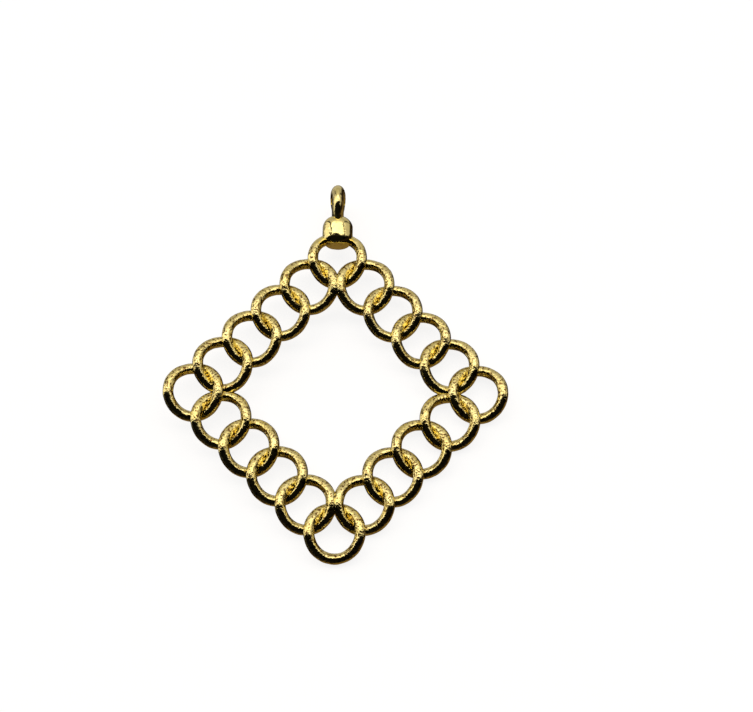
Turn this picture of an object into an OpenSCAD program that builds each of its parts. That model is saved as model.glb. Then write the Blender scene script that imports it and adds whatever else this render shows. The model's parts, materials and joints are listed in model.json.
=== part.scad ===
// Earring base: twenty round wire rings set corner to corner in a diamond, each ring bent
// into a shallow saddle, with a round bead at the top ring and a hanging loop above it, which
// is a thick domed disc with a hole.
// It is one casting, and it lies on a level surface the way it comes to rest by itself.

/* [Rings] */
// Distance between the centres of neighbouring rings, along X and along Y alike
ring_pitch = 2.5; // [2.4:0.05:2.6]
// Radius of each ring, to the middle of its wire
ring_r = 2.2; // [2.15:0.05:2.25]
// Thickness of the wire of the rings
wire_d = 0.95; // [0.95:0.05:1.1]
// How far the middle of the wire rises at the left and right of a ring, and dips at its top and foot
saddle_h = 0.45; // [0.4:0.01:0.46]
// Rings on each side of the diamond, counting only one of the side's two corners
side_rings = 5; // [3:1:6]

/* [Neck] */
// Diameter of the bead between the top ring and the hanging loop
bead_d = 2.75; // [2.6:0.05:2.9]
// Length of the bead along Y
bead_l = 2.9; // [2.8:0.05:2.95]
// Radius that rounds the bead's end at the hanging loop
bead_top_round = 1.1; // [0.9:0.05:1.2]
// Radius that rounds the bead's end inside the top ring
bead_foot_round = 0.85; // [0.7:0.05:1]
// Distance from the centre of the top ring to the centre of the bead
bead_y = 2.65; // [2.55:0.05:2.7]

/* [Hanging loop] */
// Distance from the centre of the top ring to the middle of the loop
loop_y = 5.05; // [5:0.05:5.1]
// Width of the loop's oval, which lies nearly along Y
loop_w = 4; // [3.9:0.05:4.1]
// Height of the loop's oval, which stands nearly along Z
loop_h = 4.4; // [4.2:0.05:4.6]
// How far the top of the oval leans away from the bead, in degrees
loop_lean = 15; // [0:1:20]
// Thickness of the loop along X on the free side of its hole, before its face is domed
loop_t = 1.5; // [1.4:0.05:1.6]
// Thickness of the loop along X on the bead's side of its hole, before its face is domed
loop_root_t = 1.3; // [1.2:0.05:1.4]
// How full the dome of its faces is: 2 makes a plain ellipse and more makes the edge blunter
loop_fullness = 4; // [2.5:0.5:5]
// Diameter of the hole through the loop
hole_d = 1.85; // [1.7:0.05:1.9]
// How far the hole lies from the middle of the loop, towards the bead
hole_shift = 0.05; // [0:0.05:0.1]

/* [Hidden] */

wire_sides = 8;
ring_steps = 24;
loop_steps = 28;
curve_fn = 48;

wire_r = wire_d / 2;
corner = side_rings * ring_pitch;
// The loop is swept with a smaller hole than the finished one, which is then drilled out
drill_stock = 0.15;
drill_length = 3;
rough_hole_r = hole_d / 2 - drill_stock;
// Steps across the loop's wall, from its outer edge (0) to the rough hole (1), and then the same
// steps back again on the other face, as negative numbers
wall_steps = [0, 0.03, 0.12, 0.3, 0.6, 1];
section_steps = [each wall_steps, for (i = [len(wall_steps) - 1:-1:1]) -wall_steps[i]];

// How far the leaning oval reaches below its middle and towards its free end
loop_foot = norm([loop_w * sin(loop_lean), loop_h * cos(loop_lean)]) / 2;
loop_end = norm([loop_w * cos(loop_lean), loop_h * sin(loop_lean)]) / 2;
// How far the lowest point of the oval lies from its middle, towards the bead
foot_shift = (pow(loop_h, 2) - pow(loop_w, 2)) * sin(2 * loop_lean) / (8 * loop_foot);

// At rest the part touches the surface with the foot of the loop and with the rings along
// its lower right side, so it is pitched about X and rolled about Y
ring_foot = saddle_h + wire_r;
foot_reach = 2 * corner + ring_r + loop_y - foot_shift;
pitch_angle = atan((loop_foot - ring_foot) / foot_reach);
roll_angle = atan(sin(pitch_angle));
rest_lift = ((corner + ring_r) * sin(pitch_angle) + ring_foot * cos(pitch_angle)) * cos(roll_angle);
// The origin is under the middle of the whole outline
middle_y = (loop_y + loop_end - ring_r - wire_r) / 2;

// The rings' centres, counted in pitches: one side of the diamond, turned to the other three
one_side = [for (i = [0:side_rings - 1]) [side_rings - i, i]];
ring_places = [for (place = one_side)
    each [place, [-place[1], place[0]], -place, [place[1], -place[0]]]];

// A point of a saddle-shaped ring, phi round the ring and theta round its wire
function ring_point(phi, theta) =
    let (out = [cos(phi), sin(phi), 0],
        along = [-ring_r * sin(phi), ring_r * cos(phi), -2 * saddle_h * sin(2 * phi)],
        middle = [ring_r * cos(phi), ring_r * sin(phi), saddle_h * cos(2 * phi)])
    middle + wire_r * cos(theta) * out + wire_r * sin(theta) * cross(out, along / norm(along));

// A point on the upright loop's domed faces, phi round the loop from its free end
function loop_point(phi, step) =
    let (outer = [loop_w / 2 * cos(phi), loop_h / 2 * sin(phi)],
        inner = [rough_hole_r * cos(phi) - hole_shift, rough_hole_r * sin(phi)],
        place = outer + (inner - outer) * abs(step),
        reach = norm([2 * place[0] / loop_w, 2 * place[1] / loop_h]),
        full_t = (loop_t + loop_root_t) / 2 + (loop_t - loop_root_t) * place[0] / hole_d,
        dome = sqrt(max(0, 1 - pow(reach, loop_fullness))))
    [sign(step) * full_t / 2 * dome, place[0], place[1]];

// The triangles of a closed hoop of so many steps, with so many sides to its section
function hoop_faces(steps, sides) =
    [for (i = [0:steps - 1], j = [0:sides - 1])
        let (a = i * sides, b = (i + 1) % steps * sides, k = (j + 1) % sides)
        each [[a + j, a + k, b + k], [a + j, b + k, b + j]]];

module ring() {
    polyhedron(
        points = [for (i = [0:ring_steps - 1], j = [0:wire_sides - 1])
            ring_point(360 * i / ring_steps, 360 * j / wire_sides)],
        faces = hoop_faces(ring_steps, wire_sides));
}

module ring_diamond() {
    for (place = ring_places)
        translate([place[0] * ring_pitch, place[1] * ring_pitch, 0]) ring();
}

// Half of the bead's outline, beside the axis that it is turned on
module bead_half_outline() {
    intersection() {
        translate([0, -bead_l / 2]) square([bead_d / 2, bead_l]);
        hull() {
            translate([0, -bead_l / 2]) square([bead_d / 2 - bead_top_round, bead_l]);
            translate([bead_d / 2 - bead_top_round, bead_l / 2 - bead_top_round])
                circle(r = bead_top_round, $fn = curve_fn);
            translate([bead_d / 2 - bead_foot_round, bead_foot_round - bead_l / 2])
                circle(r = bead_foot_round, $fn = curve_fn);
        }
    }
}

module neck_bead() {
    translate([0, bead_y, 0])
        rotate([-90, 0, 0]) rotate_extrude($fn = curve_fn) bead_half_outline();
}

// The hanging loop before its hole is drilled out
module loop_blank() {
    translate([0, loop_y, 0]) rotate([-loop_lean, 0, 0])
        polyhedron(
            points = [for (i = [0:loop_steps - 1], step = section_steps)
                loop_point(360 * i / loop_steps, step)],
            faces = hoop_faces(loop_steps, len(section_steps)));
}

module neck() {
    translate([0, corner, 0])
        difference() {
            union() {
                neck_bead();
                loop_blank();
            }
            translate([0, loop_y - hole_shift, 0]) rotate([0, 90, 0])
                cylinder(d = hole_d, h = drill_length, center = true, $fn = curve_fn);
        }
}

module at_rest() {
    translate([0, -middle_y, rest_lift]) rotate([pitch_angle, roll_angle, 0]) children();
}

module earring_base() {
    color("goldenrod")
        at_rest() {
            ring_diamond();
            neck();
        }
}

earring_base();
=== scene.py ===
"""A gold earring base, a cast openwork diamond with a neck bead and a hanging loop, and its studio."""

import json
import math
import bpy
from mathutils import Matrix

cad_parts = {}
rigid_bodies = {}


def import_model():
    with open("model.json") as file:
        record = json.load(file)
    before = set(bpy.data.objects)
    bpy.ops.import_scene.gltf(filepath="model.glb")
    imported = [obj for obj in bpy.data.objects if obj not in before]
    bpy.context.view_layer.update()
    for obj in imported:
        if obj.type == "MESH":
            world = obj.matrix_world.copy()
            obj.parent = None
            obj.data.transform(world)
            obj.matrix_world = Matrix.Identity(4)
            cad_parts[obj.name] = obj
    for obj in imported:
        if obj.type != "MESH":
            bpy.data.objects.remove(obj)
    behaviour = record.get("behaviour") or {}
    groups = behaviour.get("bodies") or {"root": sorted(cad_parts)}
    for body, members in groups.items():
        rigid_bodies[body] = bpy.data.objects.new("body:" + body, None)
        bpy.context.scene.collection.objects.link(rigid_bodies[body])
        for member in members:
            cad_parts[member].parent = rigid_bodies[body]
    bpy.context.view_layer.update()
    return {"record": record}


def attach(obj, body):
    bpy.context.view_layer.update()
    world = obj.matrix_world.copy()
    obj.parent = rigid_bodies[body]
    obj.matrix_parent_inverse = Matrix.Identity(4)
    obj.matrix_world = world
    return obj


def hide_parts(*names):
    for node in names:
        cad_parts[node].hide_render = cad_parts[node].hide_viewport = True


bl_info = {
    "name": "Earring Base Looks",
    "version": (1, 0, 0),
    "blender": (4, 5, 0),
    "location": "View3D > Sidebar > Earring Base",
    "description": "Models the cast earring base with its gold plating, the camera and the studio",
    "category": "Object",
}

import bpy
from mathutils import Matrix, Vector

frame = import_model()

MM = 0.001
CAD_NODE = "earring_base"
PIECE = "gold_casting"
MOUNTS = {mount["name"]: mount for mount in frame["record"]["mounts"]}
# Ring pitches from the centre of the left corner ring to the centre of the right one
PITCHES_ACROSS = 10
# Rings on each side of the diamond, counting only one of the side's two corners
RINGS_ON_SIDE = PITCHES_ACROSS // 2


def mount_place(name):
    """Where one of the part's mounts is, in metres."""
    return Vector(MOUNTS[name]["pos_m"])


def mount_axis(name):
    """The direction of one of the part's mounts."""
    return Vector(MOUNTS[name]["axis"]).normalized()


def lying_matrix():
    """Lays down a flat model, made with the diamond's centre at the origin, the way the part lies."""
    right = mount_axis("hanging_loop_hole")
    up = mount_axis("right_ring")
    ahead = up.cross(right).normalized()
    centre = (mount_place("left_ring") + mount_place("right_ring")) / 2
    return Matrix.Translation(centre) @ Matrix((right, ahead, up)).transposed().to_4x4()


LYING = lying_matrix()
RING_PITCH = (mount_place("right_ring") - mount_place("left_ring")).length / PITCHES_ACROSS
# How far the middle of the hanging loop's hole is from the diamond's centre
HOLE_FROM_CENTRE = (LYING.inverted() @ mount_place("hanging_loop_hole")).y
HOLE_RADIUS = MOUNTS["hanging_loop_hole"]["dims"]["r_mm"] * MM


class EarringSizes(bpy.types.PropertyGroup):
    """The sizes of the casting that the frame doesn't give."""

    ring_radius: bpy.props.FloatProperty(
        name="Ring radius", description="Radius of each ring, to the middle of its wire",
        default=2.2 * MM, unit="LENGTH")
    wire_thickness: bpy.props.FloatProperty(
        name="Wire thickness", description="Thickness of the wire of the rings",
        default=0.95 * MM, unit="LENGTH")
    saddle_rise: bpy.props.FloatProperty(
        name="Saddle rise", description="How far a ring's left and right rise and its top and foot dip",
        default=0.45 * MM, unit="LENGTH")
    bevel_rise: bpy.props.FloatProperty(
        name="Bevel rise", description="How far round from the wire's inner side its flat bevel lies",
        default=math.radians(42), subtype="ANGLE")
    bevel_spread: bpy.props.FloatProperty(
        name="Bevel spread", description="How much of the wire's round the flat bevel takes",
        default=math.radians(44), subtype="ANGLE")
    bead_width: bpy.props.FloatProperty(
        name="Bead width", description="Diameter of the bead on the top ring",
        default=2.75 * MM, unit="LENGTH")
    bead_length: bpy.props.FloatProperty(
        name="Bead length", description="Length of the bead between its two ends",
        default=2.9 * MM, unit="LENGTH")
    bead_from_ring: bpy.props.FloatProperty(
        name="Bead place", description="From the centre of the top ring to the middle of the bead",
        default=2.65 * MM, unit="LENGTH")
    bead_top_round: bpy.props.FloatProperty(
        name="Bead top rounding", description="Radius that rounds the bead's end at the loop",
        default=1.1 * MM, unit="LENGTH")
    bead_foot_round: bpy.props.FloatProperty(
        name="Bead foot rounding", description="Radius that rounds the bead's end in the top ring",
        default=0.85 * MM, unit="LENGTH")
    loop_width: bpy.props.FloatProperty(
        name="Loop width", description="Width of the hanging loop's oval, nearly along the part",
        default=4.0 * MM, unit="LENGTH")
    loop_height: bpy.props.FloatProperty(
        name="Loop height", description="Height of its oval, nearly at right angles to the diamond",
        default=4.4 * MM, unit="LENGTH")
    loop_lean: bpy.props.FloatProperty(
        name="Loop lean", description="How far the top of its oval leans away from the bead",
        default=math.radians(15), subtype="ANGLE")
    loop_thickness: bpy.props.FloatProperty(
        name="Loop thickness", description="Thickness of the loop on the free side of its hole",
        default=1.48 * MM, unit="LENGTH")
    loop_root_thickness: bpy.props.FloatProperty(
        name="Loop root thickness", description="Thickness of the loop on the bead's side of its hole",
        default=1.12 * MM, unit="LENGTH")
    loop_fullness: bpy.props.FloatProperty(
        name="Loop fullness", description="How full its domed faces are: 2 makes a plain ellipse",
        default=4, min=2, max=6)
    hole_shift: bpy.props.FloatProperty(
        name="Hole shift", description="How far the hole lies from the loop's middle, towards the bead",
        default=0.05 * MM, unit="LENGTH")


class EarringFinish(bpy.types.PropertyGroup):
    """The colours and the surface of the gold plating and the floor."""

    gold: bpy.props.FloatVectorProperty(
        name="Gold", description="Colour of the polished plating",
        default=(0.9, 0.79, 0.35), size=3, min=0, max=1, subtype="COLOR")
    deep_gold: bpy.props.FloatVectorProperty(
        name="Deep gold", description="Colour of the plating where it is thicker",
        default=(0.85, 0.72, 0.26), size=3, min=0, max=1, subtype="COLOR")
    polish: bpy.props.FloatProperty(
        name="Polish", description="Roughness of the best polished places",
        default=0.03, min=0, max=1, subtype="FACTOR")
    dull: bpy.props.FloatProperty(
        name="Dull", description="Roughness of the dullest places",
        default=0.08, min=0, max=1, subtype="FACTOR")
    grain: bpy.props.FloatProperty(
        name="Grain", description="Size of the fine cast grain",
        default=0.2 * MM, unit="LENGTH")
    grain_depth: bpy.props.FloatProperty(
        name="Grain depth", description="Depth of the fine cast grain",
        default=0.035 * MM, unit="LENGTH")
    neck_grain: bpy.props.FloatProperty(
        name="Neck grain", description="Share of the grain that shows on the smoother neck and loop",
        default=0.4, min=0, max=1, subtype="FACTOR")
    # Painted shade: the pits have no depth in the mesh, so this dark colour and its spots stand in for the
    # shade inside them
    painted_pit_shade: bpy.props.FloatVectorProperty(
        name="Pit colour", description="Colour of the small dark pits in the grain",
        default=(0.2, 0.11, 0.03), size=3, min=0, max=1, subtype="COLOR")
    pit_shade_size: bpy.props.FloatProperty(
        name="Pit size", description="Size of the small dark pits",
        default=0.2 * MM, unit="LENGTH")
    swell_size: bpy.props.FloatProperty(
        name="Swell size", description="Size of the slight swellings that casting left",
        default=0.8 * MM, unit="LENGTH")
    swell_height: bpy.props.FloatProperty(
        name="Swell height", description="Height of the slight swellings that casting left",
        default=0.05 * MM, unit="LENGTH")
    floor: bpy.props.FloatVectorProperty(
        name="Floor", description="Colour of the pale floor",
        default=(0.3, 0.3, 0.3), size=3, min=0, max=1, subtype="COLOR")
    floor_glow: bpy.props.FloatProperty(
        name="Floor glow", description="Light that the floor itself gives, which keeps shadows faint",
        default=0.86, min=0, max=1)


class EarringView(bpy.types.PropertyGroup):
    """Where the camera stands, seen from the middle of the diamond."""

    distance: bpy.props.FloatProperty(
        name="Distance", description="From the camera to the middle of the diamond, along the view",
        default=134.55 * MM, unit="LENGTH")
    aside: bpy.props.FloatProperty(
        name="Aside", description="How far right of the diamond's centre the camera looks",
        default=3.57 * MM, unit="LENGTH")
    above: bpy.props.FloatProperty(
        name="Above", description="How far above the diamond's centre the camera looks",
        default=3.2 * MM, unit="LENGTH")
    lean: bpy.props.FloatProperty(
        name="Lean", description="Turn about the diamond's width: below 0, its top leans away",
        default=math.radians(-17.43), subtype="ANGLE")
    sway: bpy.props.FloatProperty(
        name="Sway", description="Turn about the diamond's length",
        default=math.radians(1.32), subtype="ANGLE")
    roll: bpy.props.FloatProperty(
        name="Roll", description="Turn in the picture",
        default=math.radians(-0.55), subtype="ANGLE")
    lens: bpy.props.FloatProperty(
        name="Lens", description="Focal length in millimetres on a sensor 36 mm wide", default=73.05)


def deselect():
    """Leaves nothing selected, because an operator acts on all that is."""
    bpy.ops.object.select_all(action="DESELECT")


def choose(obj):
    """Selects this object alone and makes it active."""
    deselect()
    obj.select_set(True)
    bpy.context.view_layer.objects.active = obj


def settle(obj):
    """Puts an object's turn and place into its mesh."""
    choose(obj)
    bpy.ops.object.transform_apply(location=True, rotation=True, scale=True)


def lay_down(obj, place=(0, 0, 0)):
    """Moves a flat-modelled object to where the part lies, and puts its place into its mesh."""
    obj.matrix_world = LYING @ Matrix.Translation(place)
    settle(obj)


def apply_modifier(obj, modifier):
    """Applies a modifier to the object's mesh."""
    choose(obj)
    bpy.ops.object.modifier_apply(modifier=modifier.name)


WIRE_SIDES = 32
# Steps in each quarter of a ring
ARC_STEPS = 20
# The side of the wire's section, along its X, that becomes the ring's inner side
INNER_SIDE = 1


def ring_places():
    """The centres of the rings, counted in pitches: one side, turned to the other three."""
    places = []
    for step in range(RINGS_ON_SIDE):
        x, y = RINGS_ON_SIDE - step, step
        places += [(x, y), (-y, x), (-x, -y), (y, -x)]
    return places


def wire_section(sizes):
    """A round wire section as a closed curve, with a flat bevel above and below its inner side."""
    bpy.ops.mesh.primitive_circle_add(vertices=WIRE_SIDES, radius=sizes.wire_thickness / 2)
    section = bpy.context.object
    section.name = "wire_section"
    half = sizes.bevel_spread / 2
    for vertex in section.data.vertices:
        from_inner_side = math.atan2(abs(vertex.co.y), INNER_SIDE * vertex.co.x)
        beside_bevel = abs(from_inner_side - sizes.bevel_rise)
        if beside_bevel < half:
            vertex.co *= math.cos(half) / math.cos(beside_bevel)
    bpy.ops.object.convert(target="CURVE")
    return section


def ring_of_wire(sizes, section):
    """One ring: a circle whose left and right points are raised and whose top and foot are lowered."""
    bpy.ops.curve.primitive_bezier_circle_add(radius=sizes.ring_radius)
    ring = bpy.context.object
    for point in ring.data.splines[0].bezier_points:
        beside = abs(point.co.x) > abs(point.co.y)
        rise = Vector((0, 0, sizes.saddle_rise if beside else -sizes.saddle_rise))
        for place in ("co", "handle_left", "handle_right"):
            setattr(point, place, getattr(point, place) + rise)
    ring.data.resolution_u = ARC_STEPS
    ring.data.bevel_mode = "OBJECT"
    ring.data.bevel_object = section
    ring.data.twist_mode = "Z_UP"
    choose(ring)
    bpy.ops.object.convert(target="MESH")
    return ring


class EARRING_OT_rings(bpy.types.Operator):
    """Models the twenty saddle-bent rings of the diamond"""

    bl_idname = "earring.rings"
    bl_label = "Rings"

    def execute(self, context):
        sizes = context.scene.earring_sizes
        deselect()
        section = wire_section(sizes)
        pattern = ring_of_wire(sizes, section)
        for number, (x, y) in enumerate(ring_places()):
            ring = pattern.copy()
            ring.data = pattern.data.copy()
            ring.name = f"ring_{number:02d}"
            context.collection.objects.link(ring)
            lay_down(ring, (x * RING_PITCH, y * RING_PITCH, 0))
        bpy.data.objects.remove(pattern)
        bpy.data.objects.remove(section)
        return {"FINISHED"}


BEAD_SIDES = 96
BEAD_ROUND_STEPS = 12
# The bevel profile that makes a quarter circle
ROUND_PROFILE = 0.5
# Corners closer to a level than this lie on it
ON_LEVEL = 0.01 * MM


def round_rim(bead, level, rounding):
    """Rounds the rim of the bead that lies at that level along its length."""
    bpy.ops.object.mode_set(mode="EDIT")
    bpy.ops.mesh.select_all(action="DESELECT")
    bpy.ops.object.mode_set(mode="OBJECT")
    for edge in bead.data.edges:
        ends = [bead.data.vertices[corner].co for corner in edge.vertices]
        edge.select = all(abs(end.y - level) < ON_LEVEL for end in ends)
    bpy.ops.object.mode_set(mode="EDIT")
    bpy.ops.mesh.bevel(offset=rounding, segments=BEAD_ROUND_STEPS, profile=ROUND_PROFILE)
    bpy.ops.object.mode_set(mode="OBJECT")


class EARRING_OT_bead(bpy.types.Operator):
    """Models the neck bead: a short barrel with two rounded ends"""

    bl_idname = "earring.bead"
    bl_label = "Neck bead"

    def execute(self, context):
        sizes = context.scene.earring_sizes
        middle = RINGS_ON_SIDE * RING_PITCH + sizes.bead_from_ring
        deselect()
        bpy.ops.mesh.primitive_cylinder_add(
            vertices=BEAD_SIDES, radius=sizes.bead_width / 2, depth=sizes.bead_length,
            location=(0, middle, 0), rotation=(-math.pi / 2, 0, 0))
        bead = context.object
        bead.name = "neck_bead"
        settle(bead)
        round_rim(bead, middle + sizes.bead_length / 2, sizes.bead_top_round)
        round_rim(bead, middle - sizes.bead_length / 2, sizes.bead_foot_round)
        lay_down(bead)
        return {"FINISHED"}


LOOP_STEPS = 96
# Steps across the loop's wall, from its outer edge (0) to its hole (1)
WALL_STEPS = (0.012, 0.035, 0.07, 0.12, 0.19, 0.28, 0.4, 0.55, 0.72, 0.88, 1)
# The steps all round the wall, each with the face that it is on: the right one (1) or the left one (-1)
ROUND_WALL = (
    (0, 1),
    *((step, 1) for step in WALL_STEPS),
    *((step, -1) for step in reversed(WALL_STEPS)),
)
# Where the loop begins to thicken towards its free side, in radii of its hole
THICKENS_FROM = 0.25


def smooth(share):
    """Eases from 0 to 1 as the share does, and stays there beyond."""
    share = min(1, max(0, share))
    return share * share * (3 - 2 * share)


def loop_corner(sizes, turn, step, face):
    """A corner of the hanging loop, so far round it and across its wall, on its right or left face."""
    lean = Matrix.Rotation(-sizes.loop_lean, 3, "X")
    hole_middle = lean.inverted() @ Vector((0, -sizes.hole_shift, 0))
    outer = Vector((0, math.cos(turn) * sizes.loop_width / 2, math.sin(turn) * sizes.loop_height / 2))
    inner = Vector((0, math.cos(turn), math.sin(turn))) * HOLE_RADIUS + hole_middle
    place = outer.lerp(inner, step)
    reach = math.hypot(2 * place.y / sizes.loop_width, 2 * place.z / sizes.loop_height)
    swell = smooth(place.y / HOLE_RADIUS - THICKENS_FROM)
    thickness = sizes.loop_root_thickness + swell * (sizes.loop_thickness - sizes.loop_root_thickness)
    place.x = face * thickness / 2 * math.sqrt(max(0, 1 - reach ** sizes.loop_fullness))
    return lean @ place + Vector((0, HOLE_FROM_CENTRE + sizes.hole_shift, 0))


class EARRING_OT_loop(bpy.types.Operator):
    """Models the hanging loop: a torus shaped into a leaning domed disc with a round hole"""

    bl_idname = "earring.loop"
    bl_label = "Hanging loop"

    def execute(self, context):
        sizes = context.scene.earring_sizes
        deselect()
        bpy.ops.mesh.primitive_torus_add(major_segments=LOOP_STEPS, minor_segments=len(ROUND_WALL))
        loop = context.object
        loop.name = "hanging_loop"
        for vertex in loop.data.vertices:
            round_loop, round_wall = divmod(vertex.index, len(ROUND_WALL))
            step, face = ROUND_WALL[round_wall]
            vertex.co = loop_corner(sizes, math.tau * round_loop / LOOP_STEPS, step, face)
        lay_down(loop)
        return {"FINISHED"}


# Edges that turn by more than this stay sharp, such as those where two wires cross
CREASE_ANGLE = math.radians(38)


def in_triangles(obj):
    """Splits an object's faces, because a union can double a face where it cuts an uneven one."""
    apply_modifier(obj, obj.modifiers.new("triangles", "TRIANGULATE"))


def unite(casting, other):
    """Adds another closed shape to the casting, so that no surface is left inside it."""
    in_triangles(other)
    union = casting.modifiers.new("union", "BOOLEAN")
    union.operation = "UNION"
    union.solver = "MANIFOLD"
    union.object = other
    corners = len(casting.data.vertices)
    apply_modifier(casting, union)
    if len(casting.data.vertices) <= corners:
        raise RuntimeError(f"{other.name} did not unite with the casting")
    bpy.data.objects.remove(other)


def swell_slightly(casting, finish):
    """Makes the casting slightly uneven."""
    clouds = bpy.data.textures.new("swell", "CLOUDS")
    clouds.noise_scale = finish.swell_size
    clouds.noise_depth = 1
    uneven = casting.modifiers.new("uneven", "DISPLACE")
    uneven.texture = clouds
    uneven.texture_coords = "LOCAL"
    uneven.strength = finish.swell_height
    apply_modifier(casting, uneven)


class EARRING_OT_casting(bpy.types.Operator):
    """Unites the rings, the bead and the loop into one slightly uneven casting, and plates it"""

    bl_idname = "earring.casting"
    bl_label = "Casting"

    def execute(self, context):
        finish = context.scene.earring_finish
        casting = bpy.data.objects["neck_bead"]
        in_triangles(casting)
        rings = sorted(obj.name for obj in context.scene.objects if obj.name.startswith("ring_"))
        for name in ("hanging_loop", *rings):
            unite(casting, bpy.data.objects[name])
        casting.name = PIECE
        casting.data.name = PIECE
        swell_slightly(casting, finish)
        choose(casting)
        bpy.ops.object.shade_smooth_by_angle(angle=CREASE_ANGLE)
        casting.data.materials.clear()
        casting.data.materials.append(gold_plating(finish))
        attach(casting, "root")
        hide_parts(CAD_NODE)
        return {"FINISHED"}


def set_inputs(node, **inputs):
    """Sets a node's sockets, each named with _ for a space."""
    for name, value in inputs.items():
        node.inputs[name.replace("_", " ")].default_value = value


def math_node(tree, operation, first, second=None):
    """A maths node on one or two values, each a socket or a number."""
    node = tree.nodes.new("ShaderNodeMath")
    node.operation = operation
    for slot, value in enumerate((first, second)):
        if isinstance(value, (int, float)):
            node.inputs[slot].default_value = value
        elif value is not None:
            tree.links.new(value, node.inputs[slot])
    return node.outputs[0]


def vector_node(tree, operation, vector, other):
    """A vector maths node on a socket and a constant, which is a number where it scales."""
    node = tree.nodes.new("ShaderNodeVectorMath")
    node.operation = operation
    tree.links.new(vector, node.inputs[0])
    node.inputs["Scale" if operation == "SCALE" else 1].default_value = other
    return node.outputs["Value" if operation == "DOT_PRODUCT" else "Vector"]


def share_of_way(tree, value, start, end):
    """Goes from 0 to 1 as the value goes from the start to the end, and stays there beyond."""
    node = tree.nodes.new("ShaderNodeMapRange")
    set_inputs(node, From_Min=start, From_Max=end)
    tree.links.new(value, node.inputs["Value"])
    return node.outputs[0]


def noise(tree, place, feature, detail):
    """A noise whose features are about that long, in metres."""
    node = tree.nodes.new("ShaderNodeTexNoise")
    set_inputs(node, Scale=1.0, Detail=detail)
    tree.links.new(vector_node(tree, "SCALE", place, 1 / feature), node.inputs["Vector"])
    return node.outputs["Fac"]


def grey(level):
    """A grey of that level."""
    return (level, level, level)


def ramp(tree, value, stops):
    """A colour ramp with these stops, each a position and a colour."""
    node = tree.nodes.new("ShaderNodeValToRGB")
    elements = node.color_ramp.elements
    while len(elements) < len(stops):
        elements.new(1.0)
    for element, (position, colour) in zip(elements, stops):
        element.position = position
        element.color = (*colour, 1)
    tree.links.new(value, node.inputs["Fac"])
    return node.outputs["Color"]


def fade(tree, value, levels, first, second):
    """Goes from the first colour to the second as the value goes from one level to the other."""
    return ramp(tree, value, list(zip(levels, (first, second))))


def blend(tree, share, first, second):
    """Mixes two colours, each a socket or a colour, by a share from 0 to 1."""
    node = tree.nodes.new("ShaderNodeMix")
    node.data_type = "RGBA"
    colours = [socket for socket in node.inputs if socket.type == "RGBA"]
    tree.links.new(share, node.inputs["Factor"])
    for socket, value in zip(colours, (first, second)):
        if isinstance(value, tuple):
            socket.default_value = (*value, 1)
        else:
            tree.links.new(value, socket)
    return next(socket for socket in node.outputs if socket.type == "RGBA")


def bump(tree, height, depth):
    """A bump node of that depth, whose strength and normal can be linked."""
    node = tree.nodes.new("ShaderNodeBump")
    set_inputs(node, Strength=1.0, Distance=depth)
    tree.links.new(height, node.inputs["Height"])
    return node


# Where the smoother neck begins, from the middle of the diamond
NECK_FROM = 13.5 * MM
NECK_TO = 13.8 * MM
# The patches of deeper gold, the worn places and the slight waves under the grain
PATCH_SIZE = 1.3 * MM
WEAR_SIZE = 0.5 * MM
WAVE_SIZE = 0.6 * MM
WAVE_DEPTH = 0.06 * MM
# Between which levels of their noise the gold deepens, the painted pit shade ends and the polish dulls
PATCH_LEVELS = (0.35, 0.7)
PIT_SHADE_LEVELS = (0.4, 0.46)
WEAR_LEVELS = (0.35, 0.75)


def share_of_neck(tree, place):
    """Goes from 0 on the rings to 1 on the bead and the hanging loop."""
    ahead = (LYING.to_3x3() @ Vector((0, 1, 0))).normalized()
    centre = LYING.translation.dot(ahead)
    along = vector_node(tree, "DOT_PRODUCT", place, ahead)
    return share_of_way(tree, along, centre + NECK_FROM, centre + NECK_TO)


def gold_plating(finish):
    """Polished gold plating over a fine cast grain, with painted shade as small dark pits except on the
    smoother neck.
    """
    material = bpy.data.materials.new("gold_plating")
    material.use_nodes = True
    tree = material.node_tree
    shader = tree.nodes["Principled BSDF"]
    set_inputs(shader, Metallic=1.0)
    place = tree.nodes.new("ShaderNodeTexCoord").outputs["Object"]
    neck = share_of_neck(tree, place)

    patches = noise(tree, place, PATCH_SIZE, detail=2)
    tone = fade(tree, patches, PATCH_LEVELS, tuple(finish.gold), tuple(finish.deep_gold))
    # Painted shade: small dark spots in the base colour stand in for the shade in tiny pits, with none on
    # the neck
    pit_shade = fade(tree, noise(tree, place, finish.pit_shade_size, detail=4), PIT_SHADE_LEVELS, grey(1), grey(0))
    pit_shade = math_node(tree, "MULTIPLY", pit_shade, math_node(tree, "SUBTRACT", 1.0, neck))
    tree.links.new(blend(tree, pit_shade, tone, tuple(finish.painted_pit_shade)), shader.inputs["Base Color"])

    wear = noise(tree, place, WEAR_SIZE, detail=3)
    rough = fade(tree, wear, WEAR_LEVELS, grey(finish.polish), grey(finish.dull))
    tree.links.new(rough, shader.inputs["Roughness"])

    waves = bump(tree, noise(tree, place, WAVE_SIZE, detail=1), WAVE_DEPTH)
    grain = bump(tree, noise(tree, place, finish.grain, detail=2), finish.grain_depth)
    smoothed = math_node(tree, "MULTIPLY", neck, 1 - finish.neck_grain)
    tree.links.new(math_node(tree, "SUBTRACT", 1.0, smoothed), grain.inputs["Strength"])
    tree.links.new(waves.outputs["Normal"], grain.inputs["Normal"])
    tree.links.new(grain.outputs["Normal"], shader.inputs["Normal"])
    return material


# What the camera draws, from the nearest to the furthest, in metres
DRAWN_FROM = 0.001
DRAWN_TO = 10


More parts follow.
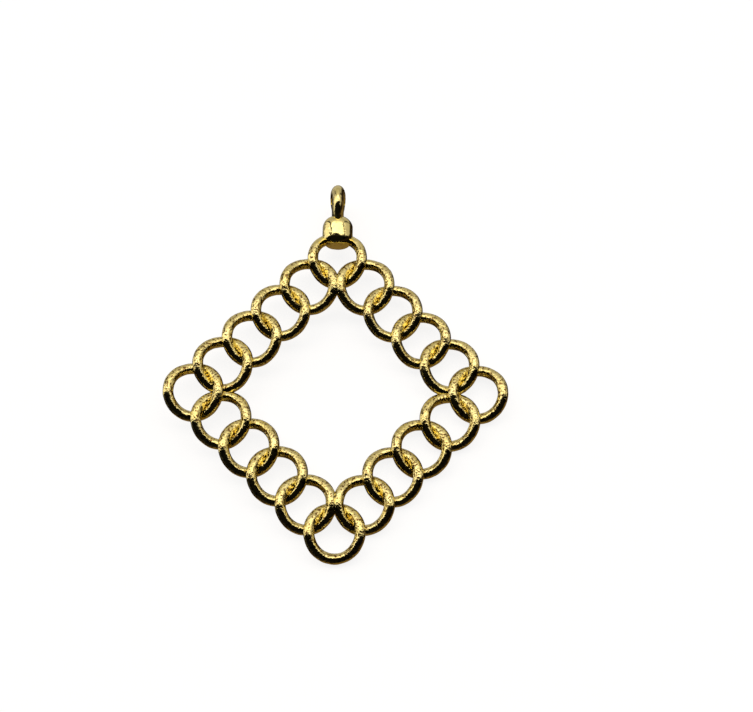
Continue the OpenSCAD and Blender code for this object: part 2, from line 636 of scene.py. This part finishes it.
class EARRING_OT_camera(bpy.types.Operator):
    """Stands the camera in front of the part, a little beyond its lower corner"""

    bl_idname = "earring.camera"
    bl_label = "Camera"

    def execute(self, context):
        view = context.scene.earring_view
        turn = (Matrix.Rotation(view.roll, 4, "Z") @ Matrix.Rotation(view.sway, 4, "Y")
                @ Matrix.Rotation(view.lean, 4, "X")).transposed()
        bpy.ops.object.camera_add()
        camera = context.object
        camera.name = "camera"
        camera.data.lens = view.lens
        camera.data.clip_start = DRAWN_FROM
        camera.data.clip_end = DRAWN_TO
        stand = Matrix.Translation((view.aside, view.above, view.distance))
        camera.matrix_world = LYING @ turn @ stand
        context.scene.camera = camera
        return {"FINISHED"}


# The side of the square floor, in metres
FLOOR_SIZE = 3.0
FLOOR_ROUGHNESS = 0.9
WHITE = (1, 1, 1, 1)
# How strong the light from all round is
LIGHT_STRENGTH = 1.5
# Brightness by degrees, from below the loop's end (-180) over the top (0) to below the lower corner
LIGHT_ALONG = (
    (-180, 0.3), (-110, 0.36), (-85, 0.3), (-65, 0.38), (-50, 0.52), (-38, 0.76), (-28, 1.25), (-13, 1.35),
    (-8, 1.1), (-4, 0.1), (0, 0.0137), (12, 0.0034), (75, 0.0034), (95, 0.0228), (180, 0.0228),
)
# Share of that brightness by degrees, from the left (-90) to the right (90), with two thin dark bars
LIGHT_ACROSS = (
    (-90, 0.6), (-72, 1), (-54, 1.3), (-52, 0.03), (-46, 0.03), (-44, 1.05), (-15, 1), (18, 1),
    (34, 0.95), (44, 0.85), (46, 0.03), (52, 0.03), (54, 1), (64, 0.6), (76, 0.35), (90, 0.2),
)
# Light from both sides, which also reaches below the level of the part: its brightness, its share by
# degrees to the side, and its share by degrees towards the loop's end
SIDE_GLOW = 0.85
SIDE_BY_WIDTH = ((55, 0), (70, 1))
SIDE_BY_LENGTH = ((-1, 0), (7, 1))
# The slightly warm colour of all that light
LIGHT_TINT = (1, 0.915, 0.83)
# The dim warm glow from below and beyond the lower corner: its middle, its colours by degrees from
# that middle, and where the rest of the light takes over from the dark round it
GLOW_MIDDLE = (0.3, -0.4, -0.87)
GLOW = (0.14, 0.092, 0.035)
GLOW_DARK = (0.012, 0.007, 0.004)
GLOW_BY_DEGREES = ((0, GLOW), (42, GLOW), (52, GLOW_DARK), (180, GLOW_DARK))
BEYOND_GLOW = ((66, 0), (76, 1))


def floor_material(finish):
    """A matt pale floor."""
    material = bpy.data.materials.new("pale_floor")
    material.use_nodes = True
    shader = material.node_tree.nodes["Principled BSDF"]
    set_inputs(shader, Base_Color=(*finish.floor, 1), Roughness=FLOOR_ROUGHNESS, Specular_IOR_Level=0.0,
               Emission_Color=WHITE, Emission_Strength=finish.floor_glow)
    return material


def by_degrees(tree, angle, lowest, highest, stops):
    """A colour ramp over an angle, with stops in degrees between the lowest and the highest."""
    share = share_of_way(tree, angle, math.radians(lowest), math.radians(highest))
    width = highest - lowest
    return ramp(tree, share, [((degrees - lowest) / width, colour) for degrees, colour in stops])


def greys(levels):
    """Stops in degrees whose colours are greys of these levels."""
    return [(degrees, grey(level)) for degrees, level in levels]


def studio_light(tree):
    """The light round the part: a wide soft panel above the loop's end, darkness above the lower
    corner, light from both sides, and a dim warm glow from below."""
    direction = tree.nodes.new("ShaderNodeTexCoord").outputs["Generated"]
    parts = tree.nodes.new("ShaderNodeSeparateXYZ")
    tree.links.new(direction, parts.inputs[0])
    across, along, up = parts.outputs

    lengthwise = math_node(tree, "ARCTAN2", math_node(tree, "MULTIPLY", along, -1.0), up)
    sideways = math_node(tree, "ARCSINE", across)
    panel = by_degrees(tree, lengthwise, -180, 180, greys(LIGHT_ALONG))
    sides = by_degrees(tree, math_node(tree, "ABSOLUTE", sideways), 0, 90, greys(SIDE_BY_WIDTH))
    towards_loop = by_degrees(tree, math_node(tree, "ARCSINE", along), -90, 90, greys(SIDE_BY_LENGTH))
    panel = blend(tree, math_node(tree, "MULTIPLY", sides, towards_loop), panel, grey(SIDE_GLOW))
    sky = math_node(tree, "MULTIPLY", panel, by_degrees(tree, sideways, -90, 90, greys(LIGHT_ACROSS)))
    sky = vector_node(tree, "MULTIPLY", sky, LIGHT_TINT)

    cosine = vector_node(tree, "DOT_PRODUCT", direction, Vector(GLOW_MIDDLE).normalized())
    from_middle = math_node(tree, "ARCCOSINE", cosine)
    glow = by_degrees(tree, from_middle, 0, 180, GLOW_BY_DEGREES)
    return blend(tree, by_degrees(tree, from_middle, 0, 180, greys(BEYOND_GLOW)), glow, sky)


class EARRING_OT_stage(bpy.types.Operator):
    """Makes the pale floor, which the casting doesn't mirror, and the soft studio light"""

    bl_idname = "earring.stage"
    bl_label = "Stage"

    def execute(self, context):
        deselect()
        bpy.ops.mesh.primitive_plane_add(size=FLOOR_SIZE)
        floor = context.object
        floor.name = "floor"
        floor.data.materials.append(floor_material(context.scene.earring_finish))
        floor.visible_glossy = False
        world = bpy.data.worlds.new("studio")
        context.scene.world = world
        world.use_nodes = True
        background = world.node_tree.nodes["Background"]
        world.node_tree.links.new(studio_light(world.node_tree), background.inputs["Color"])
        set_inputs(background, Strength=LIGHT_STRENGTH)
        context.scene.view_settings.view_transform = "Standard"
        return {"FINISHED"}


STEPS = (
    EARRING_OT_camera,
    EARRING_OT_stage,
    EARRING_OT_rings,
    EARRING_OT_bead,
    EARRING_OT_loop,
    EARRING_OT_casting,
)


class EARRING_PT_panel(bpy.types.Panel):
    """Lists the steps that make the earring base"""

    bl_idname = "EARRING_PT_panel"
    bl_label = "Earring Base"
    bl_space_type = "VIEW_3D"
    bl_region_type = "UI"
    bl_category = "Earring Base"

    def draw(self, context):
        for step in STEPS:
            self.layout.operator(step.bl_idname)


GROUPS = {
    "earring_sizes": EarringSizes,
    "earring_finish": EarringFinish,
    "earring_view": EarringView,
}


def register():
    for name, group in GROUPS.items():
        bpy.utils.register_class(group)
        setattr(bpy.types.Scene, name, bpy.props.PointerProperty(type=group))
    for made in (*STEPS, EARRING_PT_panel):
        bpy.utils.register_class(made)


def unregister():
    for made in reversed((*STEPS, EARRING_PT_panel)):
        bpy.utils.unregister_class(made)
    for name, group in GROUPS.items():
        delattr(bpy.types.Scene, name)
        bpy.utils.unregister_class(group)


def main():
    register()
    bpy.ops.earring.camera()
    bpy.ops.earring.stage()
    bpy.ops.earring.rings()
    bpy.ops.earring.bead()
    bpy.ops.earring.loop()
    bpy.ops.earring.casting()


if __name__ == "__main__":
    main()
